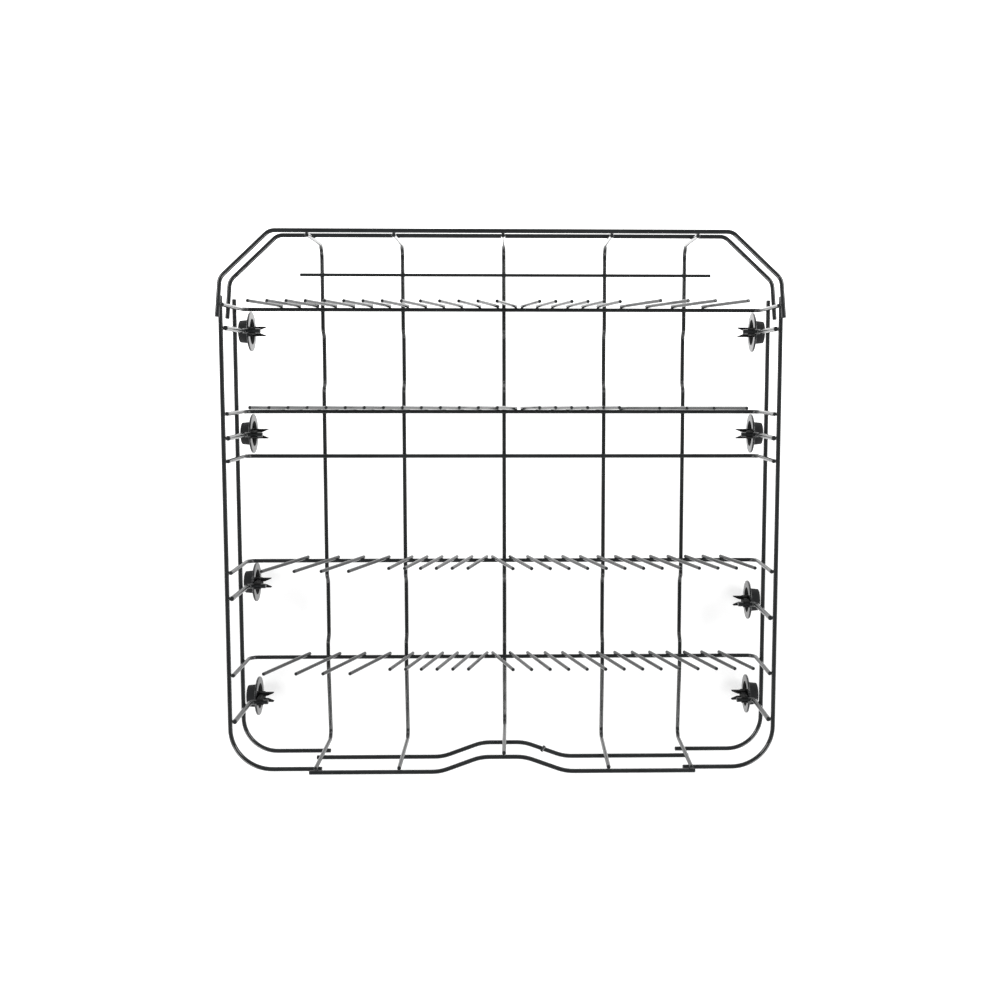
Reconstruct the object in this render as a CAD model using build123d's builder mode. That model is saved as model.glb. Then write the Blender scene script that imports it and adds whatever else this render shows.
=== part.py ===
from build123d import *
import os
from math import radians, tan

# Lower dishwasher basket: coated round wires welded into a tray that runs on clip-on wheels.
# The origin is on the ground under the middle of the tray, +X is right, +Y is the rear, +Z is up.

# Wire diameters over the coating
RAIL_D = 4.3
WIRE_D = 4.0
TINE_D = 3.4
BAR_D = 3.2
PEG_D = 3.0
ARM_D = 4.8
END_ROUND = 0.2     # rounding of a cut end, as a share of the wire's diameter
WELD_SINK = 0.05    # depth to which two welded wires press into each other

# Half sizes of the tray between the planes where its rails meet the upright wires
WELD_X = 260.6
WELD_Y = 254.2

# Wheel: flange and tread radii, and places along X from the middle of the tray
FLANGE_R = 20.0
TREAD_R = 12.0
TREAD_TAPER = 1.0   # loss of radius towards the outer end of the tread and of the cavity under it
CAVITY_R = 10.6
MOUTH_R = 12.8
HUB_R = 5.2
FLANGE_X = 253.4
FLANGE_W = 2.0
WHEEL_W = 12.4
WALL_W = 1.6
RECESS_R = 6.4
RECESS_DEPTH = 2.0
FLANGE_ROUND = 0.6
TREAD_ROUND = 1.2
HUB_INSET = 0.6
BEARING_CLEARANCE = 0.05
END_FLOAT = 0.3     # play of the wheel along its axle, at each end

# Rise of the wheel wires and the floor above the axles, of the side rails above the floor,
# and steps of the rear and front rails above the upper (rim) and lower side rails
ARM_RISE = 25.5
FLOOR_RISE = 20.0
SIDE_RIM_RISE = 77.5
SIDE_RAIL_RISE = 18.0
REAR_RIM_STEP = 9.5
REAR_RAIL_STEP = 27.0
FRONT_RIM_STEP = 11.0
FRONT_RAIL_STEP = 22.5
OVERTOP = 1.6       # reach of an upright wire above the rail it is welded to

# Cross wires from the rear to the front, with the side where their tines stand wide, and lengthwise wires
ROW_Y = (188.4, 87.1, 42.4, -64.0, -163.6)
WIDE_SIDE = ("right", "right", None, "left", "left")
RUNNER_X = (-180.8, -100.8, 0.0, 100.8, 180.8)
FLOOR_SHIFT = 1.2   # offset of the lengthwise wires and tines to the right of the rails' middle
CROSS_BEND_R = 9.0

# Lengthwise wires: two dips between tine rows and a fall towards the front
DIP_DEPTH = 7.0
DIP_RAMP = 6.0
DIP_BEND_R = 6.0
DIPS = ((168.0, 109.0), (-80.0, -149.0))
FRONT_FALL = 11.0
FALL_START_Y = -172.0
FALL_BEND_R = 40.0
REAR_BEND_R = 14.0
FRONT_BEND_R = 9.0

# Rails: rear corners, lapped ends, front corners and the dent in the front rails
CHAMFER_X = 214.0
CHAMFER_Y = 213.0
CHAMFER_BEND_R = 12.0
LEG_END_Y = 177.0
LEG_SPLAY = 5.0
SIDE_START_Y = 197.5
SIDE_END_X = 175.0
RIM_CORNER_R = 40.0
RAIL_CORNER_R = 34.0
FRONT_END_X = 186.0
DENT_DEPTH = 14.4
DENT_OUTER_X = 60.5
DENT_INNER_X = 21.0
DENT_BEND_R = 45.0

# Thin bar at the rear of the floor, and the peg on the slope of the lower front rail's dent
BAR_X = 3.4
BAR_Y = 222.6
BAR_HALF = 204.5
PEG_X = 39.2
PEG_REACH = 4.4     # from the middle of the rail to the tip
PEG_TURN = 60.0     # degrees from +X

# Tines of a rear row: two evenly spaced groups and a wide group, each with its lean and its rise
NARROW_START = -221.1
NARROW_PITCH = 17.93
NARROW_COUNT = 14
MIDDLE_GAP = 6.0    # from the last narrow tine to the first of the middle group
MIDDLE_PITCH = 15.2
MIDDLE_COUNT = 6
WIDE_GAPS = (23.3, 25.7, 25.5, 30.8)    # from the tine before each one of the wide group
NARROW_LEAN = (-21.0, 76.0)
MIDDLE_LEAN = (16.5, 73.0)
WIDE_LEAN = (29.5, 90.0)
NARROW_STAND = (3.0, 3.0, None, 0.0, 0.0)   # by row, how much less its narrow tines lean
TIP_BACK = (0.8, 2.3, None, -0.6, 0.4)      # by row, reach of the tips towards the rear
TINE_FOOT = 1.2     # reach of a tine below the middle of its cross wire

# Wheel wires: name, side and place along Y
WHEELS = (
    ("left_1", -1, 167.2),
    ("left_2", -1, 64.2),
    ("left_3", -1, -88.9),
    ("left_4", -1, -208.9),
    ("right_1", 1, 167.2),
    ("right_2", 1, 64.2),
    ("right_3", 1, -109.1),
    ("right_4", 1, -208.9),
)
ARM_END_X = 240.0
ARM_BEND_R = 4.8

# Carrier: clip round the wheel wire, web down to the axle, split snap axle and release legs
CLIP_X = (245.2, 251.8)
CLIP_WALL = 0.8
CLIP_CLEARANCE = 0.05
CLIP_MOUTH = 3.8
WEB_X = (248.4, 251.8)
WEB_WIDTH = 7.2
WEB_END_R = 4.8
AXLE_R = 3.0
COLLAR_R = 4.6
HEAD_R = 3.8
HEAD_TIP_R = 2.6
HEAD_W = 1.5
SPLIT_W = 1.4
SPLIT_X = 255.4
LEG_X = (238.4, 252.6)
LEG_REACH = 4.8     # from the middle of the carrier to the outer face of a leg
LEG_THICK = 3.2
LEG_TIP = 0.6
LEG_TAPER_X = 244.6
LEG_HEIGHT = 5.0
LEG_RISE = 5.0

# Sizes that follow from the ones above
AXLE_Z = FLANGE_R
ARM_Z = AXLE_Z + ARM_RISE
FLOOR_Z = AXLE_Z + FLOOR_RISE
SIDE_RIM_Z = FLOOR_Z + SIDE_RIM_RISE
SIDE_RAIL_Z = FLOOR_Z + SIDE_RAIL_RISE
REAR_RIM_Z = SIDE_RIM_Z + REAR_RIM_STEP
REAR_RAIL_Z = SIDE_RAIL_Z + REAR_RAIL_STEP
FRONT_RIM_Z = SIDE_RIM_Z + FRONT_RIM_STEP
FRONT_RAIL_Z = SIDE_RAIL_Z + FRONT_RAIL_STEP
RAIL_X = WELD_X + RAIL_D / 2 - WELD_SINK
RAIL_Y = WELD_Y + RAIL_D / 2 - WELD_SINK
UPRIGHT_X = WELD_X - WIRE_D / 2
UPRIGHT_Y = WELD_Y - WIRE_D / 2
ARM_X = WELD_X - ARM_D / 2
RUNNER_Z = FLOOR_Z - WIRE_D + WELD_SINK
WHEEL_END_X = FLANGE_X + WHEEL_W
RECESS_X = WHEEL_END_X - RECESS_DEPTH
HUB_X = FLANGE_X + HUB_INSET
NARROW_FEET = [NARROW_START + NARROW_PITCH * i for i in range(NARROW_COUNT)]
MIDDLE_FEET = [NARROW_FEET[-1] + MIDDLE_GAP + MIDDLE_PITCH * i for i in range(MIDDLE_COUNT)]
WIDE_FEET = [MIDDLE_FEET[-1] + sum(WIDE_GAPS[: i + 1]) for i in range(len(WIDE_GAPS))]
TINE_GROUPS = ((NARROW_FEET, NARROW_LEAN), (MIDDLE_FEET, MIDDLE_LEAN), (WIDE_FEET, WIDE_LEAN))

os.makedirs("parts", exist_ok=True)


def write(piece, label):
    """Name a finished piece and write it."""
    piece.part.label = label
    export_step(piece.part, f"parts/{label}.step")


def bent_wire(label, diameter, points, radius=None):
    """Round wire along straight runs joined by arcs, with its cut ends rounded."""
    with BuildPart() as wire:
        with BuildLine() as route:
            if radius is None:
                Line(*points)
            else:
                FilletPolyline(*points, radius=radius)
        with BuildSketch(Plane(origin=route.line @ 0, z_dir=route.line % 0)):
            Circle(diameter / 2)
        sweep(path=route.line)
        fillet(wire.faces().filter_by(GeomType.PLANE).edges(), END_ROUND * diameter)
    write(wire, label)


def rear_rail(label, height):
    """Rail across the rear with chamfered corners and two short legs along the sides."""
    splay = tan(radians(LEG_SPLAY))
    leg = (RAIL_X + splay * (ROW_Y[0] - LEG_END_Y), LEG_END_Y)
    corner = (RAIL_X + splay * (ROW_Y[0] - CHAMFER_Y), CHAMFER_Y)
    left = [(-x, y, height) for x, y in (leg, corner, (CHAMFER_X, RAIL_Y))]
    right = [(-x, y, z) for x, y, z in reversed(left)]
    bent_wire(label, RAIL_D, left + right, CHAMFER_BEND_R)


def side_rail(label, side, height, corner_r):
    """Rail along one side that turns in across the front."""
    points = (
        (side * RAIL_X, SIDE_START_Y, height),
        (side * RAIL_X, -RAIL_Y, height),
        (side * SIDE_END_X, -RAIL_Y, height),
    )
    bent_wire(label, RAIL_D, points, corner_r)


def front_rail(label, height):
    """Rail across the front with the shallow dent in its middle."""
    left = [
        (-FRONT_END_X, -RAIL_Y, height),
        (-DENT_OUTER_X, -RAIL_Y, height),
        (-DENT_INNER_X, DENT_DEPTH - RAIL_Y, height),
    ]
    right = [(-x, y, z) for x, y, z in reversed(left)]
    bent_wire(label, RAIL_D, left + right, DENT_BEND_R)


def runner(label, x):
    """Lengthwise floor wire: up at the rear, two dips, a fall towards the front and up again."""
    front_y = DENT_DEPTH - UPRIGHT_Y if abs(x) < DENT_INNER_X else -UPRIGHT_Y
    points = [(x, UPRIGHT_Y, REAR_RIM_Z + OVERTOP), (x, UPRIGHT_Y, RUNNER_Z)]
    radii = [REAR_BEND_R]
    for rear, front in DIPS:
        points += [
            (x, rear, RUNNER_Z),
            (x, rear - DIP_RAMP, RUNNER_Z - DIP_DEPTH),
            (x, front + DIP_RAMP, RUNNER_Z - DIP_DEPTH),
            (x, front, RUNNER_Z),
        ]
        radii += [DIP_BEND_R] * 4
    points += [
        (x, FALL_START_Y, RUNNER_Z),
        (x, front_y, RUNNER_Z - FRONT_FALL),
        (x, front_y, FRONT_RIM_Z + OVERTOP),
    ]
    radii += [FALL_BEND_R, FRONT_BEND_R]
    bent_wire(label, WIRE_D, points, radii)


def cross_wire(label, y, top):
    """Floor wire from side to side that turns up at both ends."""
    points = (
        (-UPRIGHT_X, y, top),
        (-UPRIGHT_X, y, FLOOR_Z),
        (UPRIGHT_X, y, FLOOR_Z),
        (UPRIGHT_X, y, top),
    )
    bent_wire(label, WIRE_D, points, CROSS_BEND_R)


def tine_row(label, y, mirrored, narrow_stand, tip_back):
    """Straight leaning tines welded to the rear side of one cross wire."""
    foot_y = y + (WIRE_D + TINE_D) / 2 - WELD_SINK
    with BuildPart() as row:
        for feet, (lean, rise) in TINE_GROUPS:
            stand = narrow_stand if feet is NARROW_FEET else 0
            slope = Vector(mirrored * (lean + stand), tip_back, rise)
            below = slope * (TINE_FOOT / rise)
            for foot in feet:
                start = Vector(mirrored * foot + FLOOR_SHIFT, foot_y, FLOOR_Z) - below
                with BuildSketch(Plane(origin=start, z_dir=slope)):
                    Circle(TINE_D / 2)
                extrude(amount=(slope + below).length)
        fillet(row.faces().filter_by(GeomType.PLANE).edges(), END_ROUND * TINE_D)
    write(row, label)


def wheel_arm(label, side, y):
    """Thick wire down the inside of the side rails and in over the wheel."""
    points = (
        (side * ARM_X, y, SIDE_RIM_Z + OVERTOP),
        (side * ARM_X, y, ARM_Z),
        (side * ARM_END_X, y, ARM_Z),
    )
    bent_wire(label, ARM_D, points, ARM_BEND_R)


def axle_plane(side, y):
    """Plane through an axle: local x is outwards along it, local y is up."""
    return Plane(origin=(0, y, AXLE_Z), x_dir=(side, 0, 0), z_dir=(0, -side, 0))


def carrier(label, side, y):
    """Clip, web, split snap axle and two pointed legs, moulded as one piece."""
    axle = axle_plane(side, y)
    bore_r = ARM_D / 2 + CLIP_CLEARANCE
    collar_x = HUB_X - END_FLOAT
    head_x = RECESS_X + END_FLOAT
    with BuildPart() as body:
        with BuildSketch(Plane.YZ.offset(side * CLIP_X[0])):
            with Locations((y, ARM_Z)):
                Circle(bore_r + CLIP_WALL)
                Circle(bore_r, mode=Mode.SUBTRACT)
            with Locations((y, ARM_Z + bore_r)):
                Rectangle(CLIP_MOUTH, 2 * bore_r, mode=Mode.SUBTRACT)
        extrude(amount=side * (CLIP_X[1] - CLIP_X[0]))
        with BuildSketch(Plane.YZ.offset(side * WEB_X[0])):
            with Locations((y, AXLE_Z)):
                Circle(WEB_END_R)
                Rectangle(WEB_WIDTH, ARM_RISE, align=(Align.CENTER, Align.MIN))
            with Locations((y, ARM_Z)):
                Circle(bore_r + CLIP_WALL / 2, mode=Mode.SUBTRACT)
        extrude(amount=side * (WEB_X[1] - WEB_X[0]))
        with BuildSketch(axle):
            with BuildLine():
                Polyline(
                    (WEB_X[1], 0),
                    (WEB_X[1], COLLAR_R),
                    (collar_x, COLLAR_R),
                    (collar_x, AXLE_R),
                    (head_x, AXLE_R),
                    (head_x, HEAD_R),
                    (head_x + HEAD_W, HEAD_TIP_R),
                    (head_x + HEAD_W, 0),
                    close=True,
                )
            make_face()
        revolve(axis=Axis((0, y, AXLE_Z), (1, 0, 0)))
        with BuildSketch(axle):
            with Locations((SPLIT_X, 0)):
                Rectangle(2 * HEAD_W + head_x - SPLIT_X, SPLIT_W, align=(Align.MIN, Align.CENTER))
        extrude(amount=HEAD_R, both=True, mode=Mode.SUBTRACT)
        with BuildSketch(Plane.XY.offset(AXLE_Z + LEG_RISE)):
            for hand in (-1, 1):
                outer = y + hand * LEG_REACH
                inner = outer - hand * LEG_THICK
                with BuildLine():
                    Polyline(
                        (side * LEG_X[1], inner),
                        (side * LEG_TAPER_X, inner),
                        (side * LEG_X[0], outer - hand * LEG_TIP),
                        (side * LEG_X[0], outer),
                        (side * LEG_X[1], outer),
                        close=True,
                    )
                make_face()
        extrude(amount=LEG_HEIGHT / 2, both=True)
    write(body, label)


def wheel(label, side, y):
    """Flanged wheel with a tapered tread, hollow on the side towards the middle of the tray."""
    bore_r = AXLE_R + BEARING_CLEARANCE
    flange_end = FLANGE_X + FLANGE_W
    wall_x = RECESS_X - WALL_W
    with BuildPart() as body:
        with BuildSketch(axle_plane(side, y)):
            with BuildLine():
                Polyline(
                    (FLANGE_X, MOUTH_R),
                    (FLANGE_X, FLANGE_R),
                    (flange_end, FLANGE_R),
                    (flange_end, TREAD_R),
                    (WHEEL_END_X, TREAD_R - TREAD_TAPER),
                    (WHEEL_END_X, RECESS_R),
                    (RECESS_X, RECESS_R),
                    (RECESS_X, bore_r),
                    (HUB_X, bore_r),
                    (HUB_X, HUB_R),
                    (wall_x, HUB_R),
                    (wall_x, CAVITY_R - TREAD_TAPER),
                    (flange_end, CAVITY_R),
                    close=True,
                )
            make_face()
        revolve(axis=Axis((0, y, AXLE_Z), (1, 0, 0)))
        fillet(body.edges().filter_by(GeomType.CIRCLE).group_by(SortBy.RADIUS)[-1], FLANGE_ROUND)
        outer_end = body.faces().filter_by(GeomType.PLANE).sort_by(Axis.X)[-1 if side > 0 else 0]
        fillet(outer_end.edges().sort_by(SortBy.RADIUS)[-1], TREAD_ROUND)
    write(body, label)


rear_rail("upper_rail_rear", REAR_RIM_Z)
rear_rail("lower_rail_rear", REAR_RAIL_Z)
front_rail("upper_rail_front", FRONT_RIM_Z)
front_rail("lower_rail_front", FRONT_RAIL_Z)
for side_name, sign in (("left", -1), ("right", 1)):
    side_rail(f"upper_rail_{side_name}", sign, SIDE_RIM_Z, RIM_CORNER_R)
    side_rail(f"lower_rail_{side_name}", sign, SIDE_RAIL_Z, RAIL_CORNER_R)

for number, runner_x in enumerate(RUNNER_X, start=1):
    runner(f"runner_{number}", runner_x + FLOOR_SHIFT)

for number, row_y in enumerate(ROW_Y, start=1):
    # The rearmost uprights also carry the legs of the rear rails
    rim_z = REAR_RIM_Z if number == 1 else SIDE_RIM_Z
    cross_wire(f"cross_wire_{number}", row_y, rim_z + OVERTOP)

for number, row in enumerate(zip(ROW_Y, WIDE_SIDE, NARROW_STAND, TIP_BACK), start=1):
    row_y, wide_side, narrow_stand, tip_back = row
    if wide_side:
        tine_row(f"tines_{number}", row_y, 1 if wide_side == "right" else -1, narrow_stand, tip_back)

bar_z = RUNNER_Z + (WIRE_D + BAR_D) / 2 - WELD_SINK
bent_wire("rear_bar", BAR_D, ((BAR_X - BAR_HALF, BAR_Y, bar_z), (BAR_X + BAR_HALF, BAR_Y, bar_z)))

# The peg lies across the lower front rail, on the slope of its dent
slope_share = (DENT_OUTER_X - PEG_X) / (DENT_OUTER_X - DENT_INNER_X)
peg_z = FRONT_RAIL_Z + (RAIL_D + PEG_D) / 2 - WELD_SINK
peg_foot = Vector(PEG_X, slope_share * DENT_DEPTH - RAIL_Y, peg_z)
peg_reach = Vector(1, 0, 0).rotate(Axis.Z, PEG_TURN)
bent_wire("front_peg", PEG_D, (peg_foot - peg_reach * RAIL_D / 2, peg_foot + peg_reach * PEG_REACH))

for wheel_name, sign, wheel_y in WHEELS:
    wheel_arm(f"wheel_arm_{wheel_name}", sign, wheel_y)
    carrier(f"carrier_{wheel_name}", sign, wheel_y)
    wheel(f"wheel_{wheel_name}", sign, wheel_y)
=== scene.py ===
"""Lower dishwasher basket: finishes, coating fillets, wheel ribs and a plain studio.

Everything is in metres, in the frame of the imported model: +X is right, +Y is the rear and +Z is up.
"""
from __future__ import annotations

import logging
import math
from dataclasses import dataclass, field
from enum import Enum
from itertools import accumulate, chain
from typing import Iterator, Sequence

import bmesh
import bpy
from mathutils import Matrix, Vector


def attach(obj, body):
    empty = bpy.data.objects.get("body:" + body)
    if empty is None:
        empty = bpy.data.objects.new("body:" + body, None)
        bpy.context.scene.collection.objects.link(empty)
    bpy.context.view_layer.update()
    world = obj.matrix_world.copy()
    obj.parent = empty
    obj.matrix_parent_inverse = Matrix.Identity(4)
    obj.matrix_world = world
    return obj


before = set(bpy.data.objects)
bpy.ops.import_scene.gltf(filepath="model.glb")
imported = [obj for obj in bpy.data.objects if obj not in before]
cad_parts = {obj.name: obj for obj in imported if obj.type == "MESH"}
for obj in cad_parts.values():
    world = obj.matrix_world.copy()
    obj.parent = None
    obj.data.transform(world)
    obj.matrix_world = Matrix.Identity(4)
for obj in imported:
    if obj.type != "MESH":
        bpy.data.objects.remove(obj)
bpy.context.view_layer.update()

LOG = logging.getLogger("basket")
MM = 0.001

Colour = tuple[float, float, float]
Point = tuple[float, float, float]
Pair = tuple[float, float]

WHOLE: Pair = (0.0, 1.0)
FADE: Pair = (1.0, 0.0)
WHITE = (1.0, 1.0, 1.0, 1.0)


class Slot(str, Enum):
    """Material slots of the record."""

    WIRE = "coated_wire"
    WHEEL = "wheel_plastic"


class Side(Enum):
    """Side of the tray, as the sign of its X."""

    LEFT = -1
    RIGHT = 1

    @property
    def label(self) -> str:
        """Name of the side as the nodes spell it."""
        return self.name.lower()


class MaterialGraph:
    """Node graph of one procedural material that reads Object coordinates."""

    def __init__(self, name: str) -> None:
        """Start a material with a bare Principled shader.

        Args:
            name: Name of the material.
        """
        self.material = bpy.data.materials.new(name)
        self.material.use_nodes = True
        self.nodes = self.material.node_tree.nodes
        self.shader = self.nodes["Principled BSDF"]
        self.coordinates = self.nodes.new("ShaderNodeTexCoord").outputs["Object"]

    def link(self, source: bpy.types.NodeSocket, target: bpy.types.NodeSocket) -> None:
        """Join two sockets."""
        self.material.node_tree.links.new(source, target)

    def centred(self, middle: Point) -> bpy.types.NodeSocket:
        """Move the coordinates of a pattern.

        Args:
            middle: Point of the object that becomes the pattern's origin.

        Returns:
            The vector socket of the moved coordinates.
        """
        mapping = self.nodes.new("ShaderNodeMapping")
        mapping.inputs["Location"].default_value = [-value for value in middle]
        self.link(self.coordinates, mapping.inputs["Vector"])
        return mapping.outputs["Vector"]

    def noise(
        self,
        size: float,
        detail: float = 2.0,
        vector: bpy.types.NodeSocket | None = None,
    ) -> bpy.types.NodeSocket:
        """Add soft noise.

        Args:
            size: Size of the largest features in metres.
            detail: Number of finer octaves.
            vector: Coordinates to read, or None for the object's own.

        Returns:
            The noise value, around 0.5.
        """
        noise = self.nodes.new("ShaderNodeTexNoise")
        noise.inputs["Scale"].default_value = 1.0 / size
        noise.inputs["Detail"].default_value = detail
        self.link(vector or self.coordinates, noise.inputs["Vector"])
        return noise.outputs["Fac"]

    def span(
        self,
        value: bpy.types.NodeSocket,
        source: Pair,
        target: Pair,
    ) -> bpy.types.NodeSocket:
        """Map a value from one range to another, held at both ends.

        Args:
            value: Value to map.
            source: Range that it is read over.
            target: Range that it is mapped to.

        Returns:
            The mapped value.
        """
        node = self.nodes.new("ShaderNodeMapRange")
        node.inputs["From Min"].default_value, node.inputs["From Max"].default_value = source
        node.inputs["To Min"].default_value, node.inputs["To Max"].default_value = target
        self.link(value, node.inputs["Value"])
        return node.outputs["Result"]

    def blend(
        self,
        share: bpy.types.NodeSocket,
        first: Colour | bpy.types.NodeSocket,
        second: Colour | bpy.types.NodeSocket,
    ) -> bpy.types.NodeSocket:
        """Blend two colours.

        Args:
            share: Share of the second colour.
            first: A colour or a colour socket.
            second: A colour or a colour socket.

        Returns:
            The blended colour.
        """
        mix = self.nodes.new("ShaderNodeMix")
        mix.data_type = "RGBA"
        self.link(share, mix.inputs["Factor"])
        colour_inputs = [socket for socket in mix.inputs if socket.type == "RGBA"]
        for socket, colour in zip(colour_inputs, (first, second)):
            if isinstance(colour, tuple):
                socket.default_value = (*colour, 1.0)
            else:
                self.link(colour, socket)
        return next(socket for socket in mix.outputs if socket.type == "RGBA")

    def combine(
        self,
        operation: str,
        first: bpy.types.NodeSocket,
        second: bpy.types.NodeSocket | float,
    ) -> bpy.types.NodeSocket:
        """Join two values with one step of arithmetic.

        Args:
            operation: Name of the operation, such as MULTIPLY.
            first: A value.
            second: A value or a number.

        Returns:
            The result.
        """
        node = self.nodes.new("ShaderNodeMath")
        node.operation = operation
        self.link(first, node.inputs[0])
        if isinstance(second, float):
            node.inputs[1].default_value = second
        else:
            self.link(second, node.inputs[1])
        return node.outputs["Value"]

    def distance(
        self,
        first: bpy.types.NodeSocket,
        second: bpy.types.NodeSocket,
    ) -> bpy.types.NodeSocket:
        """Work out the distance from the axis that two coordinates are measured from.

        Args:
            first: One coordinate.
            second: The other coordinate.

        Returns:
            The distance.
        """
        squares = [self.combine("POWER", value, 2.0) for value in (first, second)]
        return self.combine("SQRT", self.combine("ADD", *squares), 0.0)

    def relief(self, height: bpy.types.NodeSocket, depth: float) -> None:
        """Add a bump over the ones already there.

        Args:
            height: Height pattern from 0 to 1.
            depth: Real depth of the relief in metres.
        """
        bump = self.nodes.new("ShaderNodeBump")
        bump.inputs["Strength"].default_value = 1.0
        bump.inputs["Distance"].default_value = depth
        self.link(height, bump.inputs["Height"])
        normal = self.shader.inputs["Normal"]
        if normal.is_linked:
            self.link(normal.links[0].from_socket, bump.inputs["Normal"])
        self.link(bump.outputs["Normal"], normal)

    def set(self, **values: float) -> None:
        """Set constant shader sockets, named with _ for each space."""
        for name, value in values.items():
            self.shader.inputs[name.replace("_", " ")].default_value = value

    def drive(self, name: str, value: bpy.types.NodeSocket) -> None:
        """Let a pattern set one shader socket."""
        self.link(value, self.shader.inputs[name])


@dataclass(frozen=True)
class CoatingFinish:
    """Glossy charcoal coating that is dipped over the welded wire."""

    name: str = "charcoal_coating"
    deep: Colour = (0.0150, 0.0162, 0.0168)
    thin: Colour = (0.0235, 0.0252, 0.0260)
    haze: Colour = (0.0380, 0.0400, 0.0412)
    cloud_size: float = 34 * MM
    cloud_range: Pair = (0.32, 0.68)
    speck_size: float = 1.6 * MM
    speck_range: Pair = (0.58, 0.74)
    speck_share: Pair = (0.0, 0.55)
    flow_size: float = 7 * MM
    flow_range: Pair = (0.3, 0.7)
    flow_depth: float = 0.01 * MM
    peel_size: float = 0.9 * MM
    peel_depth: float = 0.003 * MM
    roughness: Pair = (0.10, 0.17)
    refraction: float = 1.47

    def material(self) -> bpy.types.Material:
        """Build the material: clouded colour, faint haze, flow lines and orange peel.

        Returns:
            The material.
        """
        graph = MaterialGraph(self.name)
        clouds = graph.span(graph.noise(self.cloud_size, detail=3.0), self.cloud_range, WHOLE)
        fine = graph.noise(self.speck_size, detail=4.0)
        specks = graph.span(fine, self.speck_range, self.speck_share)
        colour = graph.blend(clouds, self.deep, self.thin)
        graph.drive("Base Color", graph.blend(specks, colour, self.haze))
        flow = graph.noise(self.flow_size)
        graph.drive("Roughness", graph.span(flow, self.flow_range, self.roughness))
        graph.relief(flow, self.flow_depth)
        graph.relief(graph.noise(self.peel_size, detail=1.0), self.peel_depth)
        graph.set(IOR=self.refraction)
        return graph.material


@dataclass(frozen=True)
class CarrierFinish:
    """Black moulded plastic with a fine spark-eroded grain."""

    name: str = "carrier_black_plastic"
    dark: Colour = (0.0022, 0.0023, 0.0025)
    light: Colour = (0.0050, 0.0051, 0.0055)
    cloud_size: float = 11 * MM
    cloud_range: Pair = (0.3, 0.7)
    rub_size: float = 2.6 * MM
    rub_range: Pair = (0.35, 0.7)
    grain_size: float = 0.32 * MM
    grain_depth: float = 0.02 * MM
    roughness: Pair = (0.70, 0.86)
    refraction: float = 1.49
    specular: float = 0.25

    def material(self) -> bpy.types.Material:
        """Build the material: clouded black, rubbed patches and an even grain.

        Returns:
            The material.
        """
        graph = MaterialGraph(self.name)
        clouds = graph.span(graph.noise(self.cloud_size, detail=3.0), self.cloud_range, WHOLE)
        graph.drive("Base Color", graph.blend(clouds, self.dark, self.light))
        rubs = graph.noise(self.rub_size, detail=3.0)
        graph.drive("Roughness", graph.span(rubs, self.rub_range, self.roughness))
        graph.relief(graph.noise(self.grain_size), self.grain_depth)
        graph.set(IOR=self.refraction, Specular_IOR_Level=self.specular)
        return graph.material


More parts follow.
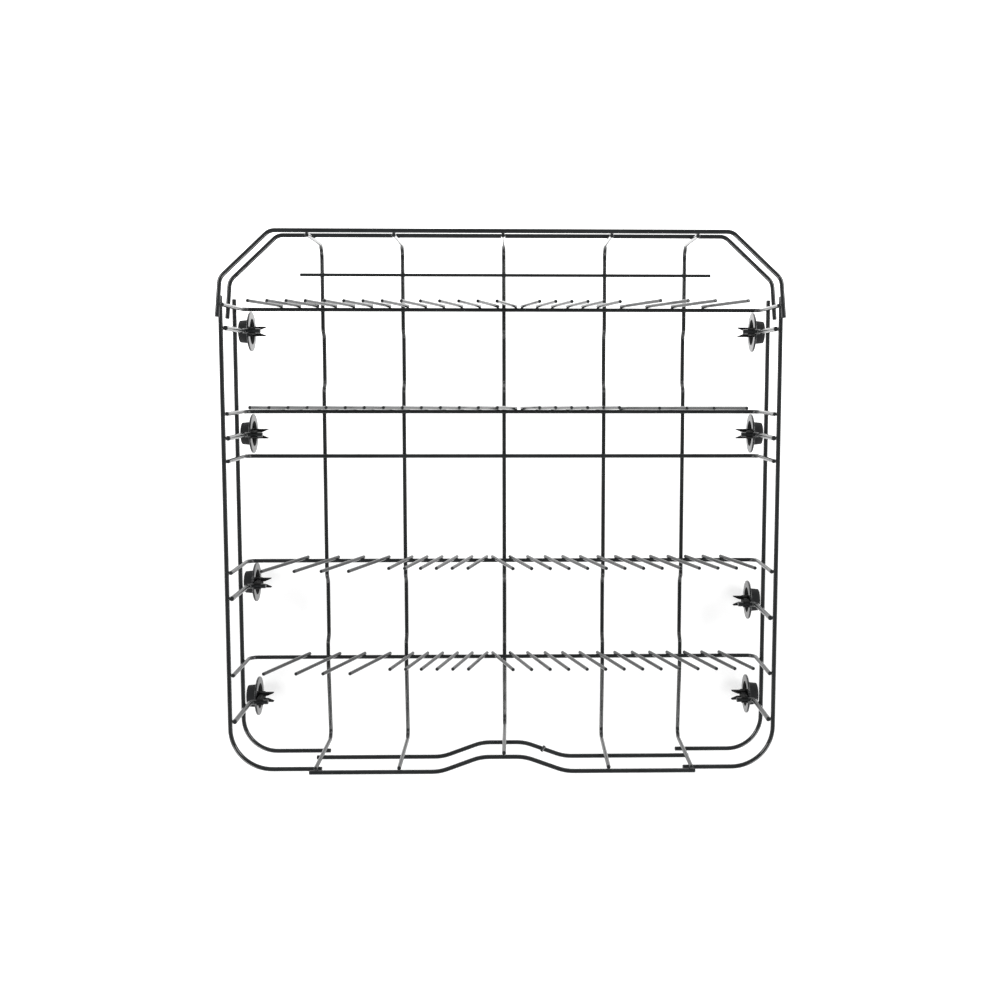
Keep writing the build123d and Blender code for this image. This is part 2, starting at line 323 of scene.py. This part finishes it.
@dataclass(frozen=True)
class WheelFinish:
    """Dark grey moulded plastic: turned rings, smooth flange, rolled tread, and a dull cavity
    coloured near-black as painted shade.
    """

    name: str = "wheel_grey_plastic"
    dark: Colour = (0.0062, 0.0066, 0.0074)
    light: Colour = (0.0098, 0.0103, 0.0115)
    scuff: Colour = (0.0260, 0.0266, 0.0286)
    # Painted shade: a near-black colour laid over the cavity inside the flange, standing in for the
    # shade in that recess.
    hollow: Colour = (0.0014, 0.0014, 0.0016)
    cloud_size: float = 14 * MM
    cloud_range: Pair = (0.3, 0.7)
    patch_size: float = 3.5 * MM
    patch_range: Pair = (0.35, 0.65)
    patch_share: Pair = (0.15, 0.9)
    ring_size: float = 0.9 * MM
    ring_range: Pair = (0.3, 0.7)
    ring_sheen: Pair = (-0.04, 0.06)
    ring_depth: float = 0.008 * MM
    grain_size: float = 0.4 * MM
    grain_depth: float = 0.014 * MM
    edge_radii: Pair = (19.5 * MM, 20.0 * MM)
    smooth_radii: Pair = (12.7 * MM, 13.1 * MM)
    mouth_depths: Pair = (1.9 * MM, 2.3 * MM)
    hollow_radii: Pair = (12.95 * MM, 10.75 * MM)
    wall_depths: Pair = (8.9 * MM, 9.0 * MM)
    soft_edge: float = 0.05 * MM
    smooth: float = 0.20
    rolled: float = 0.90
    dull: float = 0.97
    refraction: float = 1.49

    def inside(
        self,
        graph: MaterialGraph,
        radius: bpy.types.NodeSocket,
        depth: bpy.types.NodeSocket,
    ) -> bpy.types.NodeSocket:
        """Mark the cavity of the wheel, which takes the painted shade and the dull finish.

        Args:
            graph: Graph of the wheel's material.
            radius: Distance from the axle.
            depth: Distance outwards from the hollow side of the flange.

        Returns:
            1 in the hollow and 0 elsewhere.
        """
        limit = graph.span(depth, self.mouth_depths, self.hollow_radii)
        reach = graph.combine("SUBTRACT", radius, limit)
        within = graph.span(reach, (-self.soft_edge, self.soft_edge), FADE)
        return graph.combine("MULTIPLY", within, graph.span(depth, self.wall_depths, FADE))

    def material(self, wheel: str, mouth: Point, side: Side) -> bpy.types.Material:
        """Build the material of one wheel.

        Args:
            wheel: Name of the wheel.
            mouth: Point on its axle at the hollow side of its flange.
            side: Side of the tray.

        Returns:
            A material whose rings, scuffs and hollow are centred on that axle.
        """
        graph = MaterialGraph(f"{self.name}_{wheel}")
        local = graph.centred(mouth)
        parts = graph.nodes.new("ShaderNodeSeparateXYZ")
        graph.link(local, parts.inputs["Vector"])
        radius = graph.distance(parts.outputs["Y"], parts.outputs["Z"])
        turned = graph.nodes.new("ShaderNodeCombineXYZ")
        graph.link(parts.outputs["X"], turned.inputs["X"])
        graph.link(radius, turned.inputs["Y"])
        rings = graph.noise(self.ring_size, vector=turned.outputs["Vector"])
        broad = graph.noise(self.cloud_size, detail=3.0, vector=local)
        clouds = graph.span(broad, self.cloud_range, WHOLE)
        patches = graph.noise(self.patch_size, detail=3.0, vector=local)
        wear = graph.span(patches, self.patch_range, self.patch_share)
        worn = graph.combine("MULTIPLY", graph.span(radius, self.edge_radii, WHOLE), wear)
        depth = graph.combine("MULTIPLY", parts.outputs["X"], float(side.value))
        inside = self.inside(graph, radius, depth)
        colour = graph.blend(clouds, self.dark, self.light)
        colour = graph.blend(worn, colour, self.scuff)
        # Painted shade: the cavity's colour is replaced by the near-black shade colour.
        graph.drive("Base Color", graph.blend(inside, colour, self.hollow))
        sheen = graph.span(radius, self.smooth_radii, (self.rolled, self.smooth))
        sheen = graph.combine("ADD", sheen, graph.span(rings, self.ring_range, self.ring_sheen))
        dulling = graph.span(inside, WHOLE, (0.0, self.dull - self.rolled))
        graph.drive("Roughness", graph.combine("ADD", sheen, dulling))
        graph.relief(rings, self.ring_depth)
        graph.relief(graph.noise(self.grain_size, vector=local), self.grain_depth)
        graph.set(IOR=self.refraction)
        return graph.material


@dataclass(frozen=True)
class FloorFinish:
    """Matt white light table that glows less in front of its middle, and evenly far out. The glow is
    painted light: it is brighter towards the rear, as the rear lamps would light it, and it keeps the
    shadows under the basket faint.
    """

    name: str = "light_table_white"
    low: Colour = (0.42, 0.42, 0.42)
    high: Colour = (0.45, 0.45, 0.45)
    cloud_size: float = 0.6
    glow_front: float = 0.66
    glow_rear: float = 2.05
    glow_far: float = 1.50
    glow_span: Pair = (-0.20, 0.30)
    glow_power: float = 2.0
    far_span: Pair = (0.55, 1.20)
    roughness: float = 0.9
    specular: float = 0.1

    def material(self) -> bpy.types.Material:
        """Build the material: a matt sheet lit from below, less so at the front of its middle.

        Returns:
            The material.
        """
        graph = MaterialGraph(self.name)
        graph.drive("Base Color", graph.blend(graph.noise(self.cloud_size), self.low, self.high))
        parts = graph.nodes.new("ShaderNodeSeparateXYZ")
        graph.link(graph.coordinates, parts.inputs["Vector"])
        rearwards = graph.span(parts.outputs["Y"], self.glow_span, WHOLE)
        rise = graph.combine("POWER", rearwards, self.glow_power)
        glow = graph.span(rise, WHOLE, (self.glow_front, self.glow_rear))
        distance = graph.distance(parts.outputs["X"], parts.outputs["Y"])
        far = graph.span(distance, self.far_span, WHOLE)
        excess = graph.combine("SUBTRACT", glow, self.glow_far)
        dimming = graph.combine("MULTIPLY", far, excess)
        # Painted light: the glow rises towards the rear, as light from the rear lamps would, and
        # keeps the floor's shadows faint.
        graph.drive("Emission Strength", graph.combine("SUBTRACT", glow, dimming))
        graph.shader.inputs["Emission Color"].default_value = WHITE
        graph.set(Roughness=self.roughness, Specular_IOR_Level=self.specular)
        return graph.material


class NodeTree:
    """Geometry Nodes tree with named inputs."""

    def __init__(self, name: str) -> None:
        """Start a tree that takes and gives geometry.

        Args:
            name: Name of the tree.
        """
        self.tree = bpy.data.node_groups.new(name, "GeometryNodeTree")
        for way in ("INPUT", "OUTPUT"):
            self.tree.interface.new_socket("Geometry", in_out=way, socket_type="NodeSocketGeometry")
        self.identifiers: dict[str, str] = {}

    def declare(self, name: str, kind: str) -> None:
        """Add a named input.

        Args:
            name: Name of the input.
            kind: Socket class, such as NodeSocketFloat.
        """
        socket = self.tree.interface.new_socket(name, in_out="INPUT", socket_type=kind)
        self.identifiers[name] = socket.identifier

    def add(self, kind: str, **inputs: object) -> bpy.types.Node:
        """Add a node and fill its inputs.

        Args:
            kind: Node class.
            inputs: Sockets or values, named with _ for each space.

        Returns:
            The new node.
        """
        node = self.tree.nodes.new(kind)
        for name, value in inputs.items():
            socket = node.inputs[name.replace("_", " ")]
            if isinstance(value, bpy.types.NodeSocket):
                self.tree.links.new(value, socket)
            else:
                socket.default_value = value
        return node

    def attribute(self, name: str, kind: str) -> bpy.types.NodeSocket:
        """Read a named attribute of the points.

        Args:
            name: Name of the attribute.
            kind: Its data type, such as FLOAT_VECTOR.

        Returns:
            The attribute's socket.
        """
        node = self.tree.nodes.new("GeometryNodeInputNamedAttribute")
        node.data_type = kind
        node.inputs["Name"].default_value = name
        return node.outputs["Attribute"]

    def run(self, name: str, mesh: bpy.types.Mesh, **values: object) -> bpy.types.Mesh:
        """Evaluate the tree over a mesh.

        Args:
            name: Name of the resulting mesh.
            mesh: Mesh that the tree starts from.
            values: Inputs of the tree, named with _ for each space.

        Returns:
            The result as a plain mesh, without the modifier.
        """
        carrier = bpy.data.objects.new(f"{name}_points", mesh)
        bpy.context.scene.collection.objects.link(carrier)
        modifier = carrier.modifiers.new("nodes", "NODES")
        modifier.node_group = self.tree
        for key, value in values.items():
            modifier[self.identifiers[key.replace("_", " ")]] = value
        evaluated = carrier.evaluated_get(bpy.context.evaluated_depsgraph_get())
        result = bpy.data.meshes.new_from_object(evaluated)
        result.name = name
        carrier.modifiers.remove(modifier)
        bpy.data.objects.remove(carrier)
        return result


class InstanceTree(NodeTree):
    """Tree that sets one small shape on each point, turned by the point's own axes."""

    def __init__(self) -> None:
        """Build the tree."""
        super().__init__("set_on_points")
        self.declare("Shape", "NodeSocketObject")
        self.declare("Finish", "NodeSocketMaterial")
        start = self.add("NodeGroupInput")
        shape = self.add("GeometryNodeObjectInfo", Object=start.outputs["Shape"])
        turn = self.tree.nodes.new("FunctionNodeAxesToRotation")
        turn.primary_axis, turn.secondary_axis = "Z", "X"
        for name, axis in (("normal_axis", "Primary Axis"), ("along_axis", "Secondary Axis")):
            self.tree.links.new(self.attribute(name, "FLOAT_VECTOR"), turn.inputs[axis])
        placed = self.add(
            "GeometryNodeInstanceOnPoints",
            Points=start.outputs["Geometry"],
            Instance=shape.outputs["Geometry"],
            Rotation=turn.outputs["Rotation"],
        )
        real = self.add("GeometryNodeRealizeInstances", Geometry=placed.outputs["Instances"])
        smooth = self.add("GeometryNodeSetShadeSmooth", Geometry=real.outputs["Geometry"])
        finished = self.add(
            "GeometryNodeSetMaterial",
            Geometry=smooth.outputs["Geometry"],
            Material=start.outputs["Finish"],
        )
        self.add("NodeGroupOutput", Geometry=finished.outputs["Geometry"])


@dataclass(frozen=True)
class Seat:
    """Place of one repeated shape: its origin and two of its axes."""

    place: Vector
    normal: Vector
    along: Vector


def points_mesh(name: str, seats: Sequence[Seat]) -> bpy.types.Mesh:
    """Make a mesh of bare points that carry their axes.

    Args:
        name: Name of the mesh.
        seats: Places of the points.

    Returns:
        The mesh, with attributes normal_axis and along_axis.
    """
    mesh = bpy.data.meshes.new(name)
    mesh.from_pydata([seat.place for seat in seats], [], [])
    for attribute, vectors in (
        ("normal_axis", [seat.normal for seat in seats]),
        ("along_axis", [seat.along for seat in seats]),
    ):
        layer = mesh.attributes.new(attribute, "FLOAT_VECTOR", "POINT")
        layer.data.foreach_set("vector", [value for vector in vectors for value in vector])
    return mesh


def add_object(name: str, mesh: bpy.types.Mesh) -> bpy.types.Object:
    """Put a mesh into the scene at the origin.

    Args:
        name: Name of the object.
        mesh: Its mesh.

    Returns:
        The object.
    """
    piece = bpy.data.objects.new(name, mesh)
    bpy.context.scene.collection.objects.link(piece)
    return piece


def join_meshes(name: str, meshes: Sequence[bpy.types.Mesh]) -> bpy.types.Mesh:
    """Join meshes of one finish into one.

    Args:
        name: Name of the joined mesh.
        meshes: Meshes to join, which are removed.

    Returns:
        The joined mesh with the first one's material.
    """
    joined = bmesh.new()
    for mesh in meshes:
        joined.from_mesh(mesh)
    result = bpy.data.meshes.new(name)
    joined.to_mesh(result)
    joined.free()
    result.materials.append(meshes[0].materials[0])
    for mesh in meshes:
        bpy.data.meshes.remove(mesh)
    return result


@dataclass(frozen=True)
class Weld:
    """Shape of the coating fillet between two wires that touch."""

    under_diameter: float
    over_diameter: float
    crossing: float = 90.0
    sides: int = 14
    bands: int = 3
    reach: float = 0.94
    waist: float = 0.62
    bite: float = 0.05 * MM

    def rim(self, share: float) -> list[Point]:
        """Points round the fillet at one height.

        Args:
            share: Share of the way from the under wire to the over wire.

        Returns:
            A ring of points round the contact point.
        """
        under, over = self.under_diameter / 2, self.over_diameter / 2
        turn = math.radians(self.crossing)
        reach = self.reach * min(under, over)
        pinch = 1 - (1 - self.waist) * 4 * share * (1 - share)
        ring = []
        for step in range(self.sides):
            angle = 2 * math.pi * step / self.sides
            low = math.sqrt(under**2 - (reach * math.sin(angle)) ** 2) - under - self.bite
            high = over - math.sqrt(over**2 - (reach * math.sin(angle - turn)) ** 2) + self.bite
            place = (pinch * reach * math.cos(angle), pinch * reach * math.sin(angle))
            ring.append((*place, low + share * (high - low)))
        return ring

    def shape(self) -> bpy.types.Mesh:
        """Model the fillet round the contact point: the under wire along X, the over wire above it.

        Returns:
            A closed saddle whose two ends lie inside the wires.
        """
        saddle = bmesh.new()
        rims = [self.rim(band / self.bands) for band in range(self.bands + 1)]
        rings = [[saddle.verts.new(point) for point in rim] for rim in rims]
        for lower, upper in zip(rings, rings[1:]):
            for step in range(self.sides):
                after = (step + 1) % self.sides
                saddle.faces.new((lower[step], lower[after], upper[after], upper[step]))
        foot = saddle.verts.new((0, 0, -self.under_diameter / 2))
        head = saddle.verts.new((0, 0, self.over_diameter / 2))
        for step in range(self.sides):
            after = (step + 1) % self.sides
            saddle.faces.new((foot, rings[0][after], rings[0][step]))
            saddle.faces.new((head, rings[-1][step], rings[-1][after]))
        mesh = bpy.data.meshes.new("weld_fillet")
        saddle.to_mesh(mesh)
        saddle.free()
        return mesh


@dataclass(frozen=True)
class TineGroup:
    """Evenly leaning tines of one row: their feet along X, lean and rise."""

    feet: tuple[float, ...]
    lean: float
    rise: float


@dataclass(frozen=True)
class TineLayout:
    """Tines of a row that stands wide on the right."""

    narrow_start: float = -221.1 * MM
    narrow_pitch: float = 17.93 * MM
    narrow_count: int = 14
    middle_gap: float = 6.0 * MM
    middle_pitch: float = 15.2 * MM
    middle_count: int = 6
    wide_gaps: tuple[float, ...] = (23.3 * MM, 25.7 * MM, 25.5 * MM, 30.8 * MM)
    narrow_lean: Pair = (-21.0 * MM, 76.0 * MM)
    middle_lean: Pair = (16.5 * MM, 73.0 * MM)
    wide_lean: Pair = (29.5 * MM, 90.0 * MM)

    def groups(self, narrow_stand: float) -> Iterator[TineGroup]:
        """Groups of tines from left to right.

        Args:
            narrow_stand: How much less the narrow group leans in this row.

        Yields:
            Each group.
        """
        narrow = tuple(self.narrow_start + self.narrow_pitch * i for i in range(self.narrow_count))
        middle_start = narrow[-1] + self.middle_gap
        middle = tuple(middle_start + self.middle_pitch * i for i in range(self.middle_count))
        wide = tuple(middle[-1] + reach for reach in accumulate(self.wide_gaps))
        lean, rise = self.narrow_lean
        yield TineGroup(narrow, lean + narrow_stand, rise)
        yield TineGroup(middle, *self.middle_lean)
        yield TineGroup(wide, *self.wide_lean)


@dataclass(frozen=True)
class TineRow:
    """Cross wire with tines on its rear side."""

    y: float
    wide_side: Side
    narrow_stand: float = 0.0


@dataclass
class WireTray:
    """Welded tray of coated wires, with its rails, floor wires, tines and wheel wires."""

    finish: CoatingFinish = field(default_factory=CoatingFinish)
    layout: TineLayout = field(default_factory=TineLayout)
    rail_diameter: float = 4.3 * MM
    wire_diameter: float = 4.0 * MM
    tine_diameter: float = 3.4 * MM
    bar_diameter: float = 3.2 * MM
    peg_diameter: float = 3.0 * MM
    arm_diameter: float = 4.8 * MM
    weld_x: float = 260.6 * MM
    weld_y: float = 254.2 * MM
    floor_z: float = 40.0 * MM
    side_rises: Pair = (77.5 * MM, 18.0 * MM)
    rear_rises: Pair = (87.0 * MM, 45.0 * MM)
    front_rises: Pair = (88.5 * MM, 40.5 * MM)
    dent_depth: float = 14.4 * MM
    dent_x: Pair = (21.0 * MM, 60.5 * MM)
    peg_x: float = 39.2 * MM
    peg_turn: float = 60.0
    bar_y: float = 222.6 * MM
    plain_row_y: float = 42.4 * MM
    tine_rows: tuple[TineRow, ...] = (
        TineRow(188.4 * MM, Side.RIGHT, 3.0 * MM),
        TineRow(87.1 * MM, Side.RIGHT, 3.0 * MM),
        TineRow(-64.0 * MM, Side.LEFT),
        TineRow(-163.6 * MM, Side.LEFT),
    )
    floor_shift: float = 1.2 * MM
    runner_places: tuple[float, ...] = (-180.8 * MM, -100.8 * MM, 0.0, 100.8 * MM, 180.8 * MM)
    arm_y: dict[Side, tuple[float, ...]] = field(
        default_factory=lambda: {
            Side.LEFT: (167.2 * MM, 64.2 * MM, -88.9 * MM, -208.9 * MM),
            Side.RIGHT: (167.2 * MM, 64.2 * MM, -109.1 * MM, -208.9 * MM),
        }
    )

    @property
    def runner_x(self) -> list[float]:
        """Places of the lengthwise wires along X."""
        return [place + self.floor_shift for place in self.runner_places]

    @property
    def row_y(self) -> list[float]:
        """Places of all the cross wires along Y."""
        return [row.y for row in self.tine_rows] + [self.plain_row_y]

    def rail_welds(self) -> Iterator[tuple[Weld, Seat]]:
        """Fillets between the rails and what stands against them.

        Yields:
            The shape of each fillet and its seat.
        """
        up = Vector((0, 0, 1))
        wire = Weld(self.wire_diameter, self.rail_diameter)
        arm = Weld(self.arm_diameter, self.rail_diameter)
        rear_row = self.tine_rows[0].y
        for rises in zip(self.side_rises, self.rear_rises, self.front_rises):
            side_z, rear_z, front_z = (self.floor_z + rise for rise in rises)
            for place, x in zip(self.runner_places, self.runner_x):
                dent = 0.0 if place else self.dent_depth
                yield wire, Seat(Vector((x, self.weld_y, rear_z)), Vector((0, 1, 0)), up)
                yield wire, Seat(Vector((x, dent - self.weld_y, front_z)), Vector((0, -1, 0)), up)
            for side in Side:
                outward = Vector((side.value, 0, 0))
                weld_x = side.value * self.weld_x
                end_x = self.runner_x[0] if side is Side.LEFT else self.runner_x[-1]
                yield wire, Seat(Vector((end_x, -self.weld_y, side_z)), Vector((0, -1, 0)), up)
                yield wire, Seat(Vector((weld_x, rear_row, rear_z)), outward, up)
                for y in self.row_y:
                    yield wire, Seat(Vector((weld_x, y, side_z)), outward, up)
                for y in self.arm_y[side]:
                    yield arm, Seat(Vector((weld_x, y, side_z)), outward, up)

    def floor_welds(self) -> Iterator[tuple[Weld, Seat]]:
        """Fillets between the lengthwise wires and what lies over them.

        Yields:
            The shape of each fillet and its seat.
        """
        up, along = Vector((0, 0, 1)), Vector((0, 1, 0))
        level = self.floor_z - self.wire_diameter / 2
        cross = Weld(self.wire_diameter, self.wire_diameter)
        bar = Weld(self.wire_diameter, self.bar_diameter)
        for x in self.runner_x:
            yield bar, Seat(Vector((x, self.bar_y, level)), up, along)
            for y in self.row_y:
                yield cross, Seat(Vector((x, y, level)), up, along)

    def tine_welds(self) -> Iterator[tuple[Weld, Seat]]:
        """Fillets between the cross wires and the feet of the tines.

        Yields:
            The shape of each fillet and its seat.
        """
        rear, along = Vector((0, 1, 0)), Vector((1, 0, 0))
        for row in self.tine_rows:
            hand = row.wide_side.value
            for group in self.layout.groups(row.narrow_stand):
                crossing = -math.degrees(math.atan2(group.rise, hand * group.lean))
                weld = Weld(self.wire_diameter, self.tine_diameter, crossing)
                for foot in group.feet:
                    foot_x = hand * foot + self.floor_shift
                    place = Vector((foot_x, row.y + self.wire_diameter / 2, self.floor_z))
                    yield weld, Seat(place, rear, along)

    def peg_welds(self) -> Iterator[tuple[Weld, Seat]]:
        """Fillet between the peg and the slope of the lower front rail's dent.

        Yields:
            The shape of the fillet and its seat.
        """
        inner, outer = self.dent_x
        slope = Vector((inner - outer, self.dent_depth, 0)).normalized()
        depth = self.dent_depth * (outer - self.peg_x) / (outer - inner)
        rail_y = depth - self.weld_y - self.rail_diameter / 2
        rail_top = self.floor_z + self.front_rises[1] + self.rail_diameter / 2
        crossing = self.peg_turn - math.degrees(math.atan2(slope.y, slope.x))
        weld = Weld(self.rail_diameter, self.peg_diameter, crossing)
        yield weld, Seat(Vector((self.peg_x, rail_y, rail_top)), Vector((0, 0, 1)), slope)

    def build(self, tree: InstanceTree, coating: bpy.types.Material) -> bpy.types.Object:
        """Build the coating fillets of the whole tray as one piece.

        Args:
            tree: Tree that sets a shape on points.
            coating: Finish of the fillets.

        Returns:
            The piece.
        """
        seats: dict[Weld, list[Seat]] = {}
        welds = chain(self.rail_welds(), self.floor_welds(), self.tine_welds(), self.peg_welds())
        for weld, seat in welds:
            seats.setdefault(weld, []).append(seat)
        meshes = []
        for weld, places in seats.items():
            shape = add_object("weld_shape", weld.shape())
            shape.data.materials.append(coating)
            points = points_mesh("weld_seats", places)
            meshes.append(tree.run("weld_fillets", points, Shape=shape, Finish=coating))
            bpy.data.objects.remove(shape)
        piece = add_object("coating_fillets", join_meshes("coating_fillets", meshes))
        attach(piece, "basket")
        return piece

    def dress(self, coating: bpy.types.Material) -> list[bpy.types.Object]:
        """Give every wire its coating.

        Args:
            coating: Finish of the wires.

        Returns:
            The wires' nodes.
        """
        rails = ("upper_rail", "lower_rail")
        floor = ("runner", "cross_wire", "tines", "rear_bar")
        return dress_nodes((*rails, *floor, "front_peg", "wheel_arm"), coating)


def dress_nodes(starts: tuple[str, ...], finish: bpy.types.Material) -> list[bpy.types.Object]:
    """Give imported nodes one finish.

    Args:
        starts: What the nodes' names start with.
        finish: The finish.

    Returns:
        The nodes.
    """
    dressed = []
    for name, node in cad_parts.items():
        if name.startswith(starts):
            node.data.materials.clear()
            node.data.materials.append(finish)
            dressed.append(node)
    return dressed


@dataclass
class Carriers:
    """Clip-on wheel carriers."""

    finish: CarrierFinish = field(default_factory=CarrierFinish)

    def dress(self) -> list[bpy.types.Object]:
        """Give the carriers their black plastic."""
        return dress_nodes(("carrier",), self.finish.material())


@dataclass
class Wheels:
    """Eight flanged wheels with ribs in their hollow side."""

    finish: WheelFinish = field(default_factory=WheelFinish)
    axle_z: float = 20.0 * MM
    hub_radius: float = 5.2 * MM
    cavity_radii: Pair = (10.15 * MM, 9.6 * MM)
    flange_x: float = 253.4 * MM
    wall_x: float = 262.2 * MM
    rib_open_x: float = 258.4 * MM
    rib_width: float = 1.0 * MM
    rib_dip: float = 0.35
    rib_steps: int = 5
    rib_count: int = 6
    bite: float = 0.15 * MM

    def rib(self) -> bpy.types.Mesh:
        """Model one rib from the hub to the crown, with its free edge hollowed.

        Returns:
            A closed rib: Z runs along the axle to the outside, X runs outwards from the axle.
        """
        inner = self.hub_radius - self.bite
        open_outer, wall_outer = (radius + self.bite for radius in self.cavity_radii)
        depth = self.wall_x + self.bite - self.rib_open_x
        steps = self.rib_steps
        shape = bmesh.new()
        edge, root = [], []
        for step in range(steps + 1):
            share = step / steps
            dip = self.rib_dip * depth * 4 * share * (1 - share)
            edge.append((inner + (open_outer - inner) * share, dip))
            root.append((inner + (wall_outer - inner) * share, depth))
        outline = edge + list(reversed(root))
        near = [shape.verts.new((x, -self.rib_width / 2, z)) for x, z in outline]
        far = [shape.verts.new((x, self.rib_width / 2, z)) for x, z in outline]
        for first in range(steps):
            last = len(outline) - 1 - first
            shape.faces.new((near[first], near[first + 1], near[last - 1], near[last]))
            shape.faces.new((far[last], far[last - 1], far[first + 1], far[first]))
        for first in range(len(outline)):
            after = (first + 1) % len(outline)
            shape.faces.new((near[after], near[first], far[first], far[after]))
        bmesh.ops.recalc_face_normals(shape, faces=shape.faces)
        mesh = bpy.data.meshes.new("wheel_rib")
        shape.to_mesh(mesh)
        shape.free()
        return mesh

    def seats(self, side: Side, y: float) -> list[Seat]:
        """Places of one wheel's ribs.

        Args:
            side: Side of the tray.
            y: Place of the axle.

        Returns:
            A seat for each rib, at the free edge of the ribs on the axle.
        """
        middle = Vector((side.value * self.rib_open_x, y, self.axle_z))
        outwards = Vector((side.value, 0, 0))
        seats = []
        for number in range(self.rib_count):
            angle = 2 * math.pi * (number + 0.5) / self.rib_count
            seats.append(Seat(middle, outwards, Vector((0, math.cos(angle), math.sin(angle)))))
        return seats

    def build(self, tree: InstanceTree, tray: WireTray) -> list[bpy.types.Object]:
        """Build each wheel's ribs and dress the wheel.

        Args:
            tree: Tree that sets a shape on points.
            tray: Tray whose wheel wires carry the wheels.

        Returns:
            The wheels' ribs, one piece for each wheel.
        """
        pieces = []
        shape = add_object("rib_shape", self.rib())
        for side in Side:
            for number, y in enumerate(tray.arm_y[side], start=1):
                wheel = f"wheel_{side.label}_{number}"
                mouth = (side.value * self.flange_x, y, self.axle_z)
                finish = self.finish.material(f"{side.label}_{number}", mouth, side)
                dress_nodes((wheel,), finish)
                shape.data.materials.clear()
                shape.data.materials.append(finish)
                points = points_mesh("rib_seats", self.seats(side, y))
                mesh = tree.run(f"{wheel}_ribs", points, Shape=shape, Finish=finish)
                ribs = add_object(f"{wheel}_ribs", mesh)
                ribs.data.shade_flat()
                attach(ribs, wheel)
                pieces.append(ribs)
        bpy.data.objects.remove(shape)
        return pieces


@dataclass(frozen=True)
class Softbox:
    """One large soft light."""

    name: str
    place: Point
    aim: Point = (0.0, 0.0, 0.1)
    width: float = 1.2
    height: float = 1.4
    power: float = 52.0

    def build(self) -> bpy.types.Object:
        """Add the light, turned to its aim.

        Returns:
            The light's object.
        """
        light = bpy.data.lights.new(self.name, "AREA")
        light.shape = "RECTANGLE"
        light.size, light.size_y = self.width, self.height
        light.energy = self.power
        lamp = bpy.data.objects.new(self.name, light)
        turn = (Vector(self.aim) - Vector(self.place)).to_track_quat("-Z", "Y")
        lamp.matrix_world = Matrix.Translation(self.place) @ turn.to_matrix().to_4x4()
        bpy.context.scene.collection.objects.link(lamp)
        return lamp


@dataclass
class Studio:
    """White floor, soft lights all round and the camera above the basket."""

    floor_finish: FloorFinish = field(default_factory=FloorFinish)
    floor_half: float = 6.0
    horizon: float = 0.95
    zenith: float = 0.05
    sky_span: Pair = (0.15, 0.60)
    sensor_width: float = 36.0
    lens: float = 44.98
    camera_place: Point = (0.01019, 0.12422, 1.30111)
    camera_turns: Point = (0.09895, 0.02218, 0.00121)
    camera_shift: Pair = (-0.0408, -0.0014)
    softboxes: tuple[Softbox, ...] = (
        Softbox("rear_left_softbox", (-2.4, 1.05, 1.7)),
        Softbox("rear_right_softbox", (2.4, 1.05, 1.7)),
        Softbox("front_left_softbox", (-1.8, -2.0, 1.7)),
        Softbox("front_right_softbox", (1.8, -2.0, 1.7)),
    )

    def build_floor(self) -> bpy.types.Object:
        """Lay the floor under the wheels.

        Returns:
            The floor.
        """
        half = self.floor_half
        mesh = bpy.data.meshes.new("studio_floor")
        corners = [(-half, -half, 0), (half, -half, 0), (half, half, 0), (-half, half, 0)]
        mesh.from_pydata(corners, [], [(0, 1, 2, 3)])
        mesh.materials.append(self.floor_finish.material())
        floor = add_object("studio_floor", mesh)
        return floor

    def build_sky(self) -> None:
        """Light the surroundings: bright low down, dimmer overhead."""
        world = bpy.data.worlds.new("studio_surround")
        world.use_nodes = True
        tree = world.node_tree
        background = tree.nodes["Background"]
        coordinates = tree.nodes.new("ShaderNodeTexCoord")
        parts = tree.nodes.new("ShaderNodeSeparateXYZ")
        level = tree.nodes.new("ShaderNodeMapRange")
        level.interpolation_type = "SMOOTHSTEP"
        sky = (*self.sky_span, self.horizon, self.zenith)
        for name, value in zip(("From Min", "From Max", "To Min", "To Max"), sky):
            level.inputs[name].default_value = value
        tree.links.new(coordinates.outputs["Generated"], parts.inputs["Vector"])
        tree.links.new(parts.outputs["Z"], level.inputs["Value"])
        tree.links.new(level.outputs["Result"], background.inputs["Strength"])
        background.inputs["Color"].default_value = WHITE
        bpy.context.scene.world = world

    def build_camera(self) -> bpy.types.Object:
        """Hang the camera over the basket, as in the photograph.

        Returns:
            The camera's object.
        """
        camera = bpy.data.cameras.new("camera")
        camera.sensor_width = self.sensor_width
        camera.lens = self.lens
        viewer = bpy.data.objects.new("camera", camera)
        camera.shift_x, camera.shift_y = self.camera_shift
        turn = Matrix.Identity(4)
        for angle, axis in zip(self.camera_turns, "XYZ"):
            turn = turn @ Matrix.Rotation(-angle, 4, axis)
        viewer.matrix_world = Matrix.Translation(self.camera_place) @ turn
        bpy.context.scene.collection.objects.link(viewer)
        bpy.context.scene.camera = viewer
        return viewer

    def build(self) -> None:
        """Build the whole studio."""
        self.build_floor()
        self.build_sky()
        self.build_camera()
        for softbox in self.softboxes:
            softbox.build()
        bpy.context.scene.view_settings.view_transform = "Standard"


def main() -> None:
    """Build and dress the basket in its studio."""
    logging.basicConfig(level=logging.INFO, format="%(name)s: %(message)s")
    tree = InstanceTree()
    tray = WireTray()
    coating = tray.finish.material()
    LOG.info("%d coated wires", len(tray.dress(coating)))
    fillets = tray.build(tree, coating)
    LOG.info("%s: %d faces", fillets.name, len(fillets.data.polygons))
    LOG.info("%d carriers", len(Carriers().dress()))
    for ribs in Wheels().build(tree, tray):
        LOG.info("%s: %d faces", ribs.name, len(ribs.data.polygons))
    Studio().build()


if __name__ == "__main__":
    main()
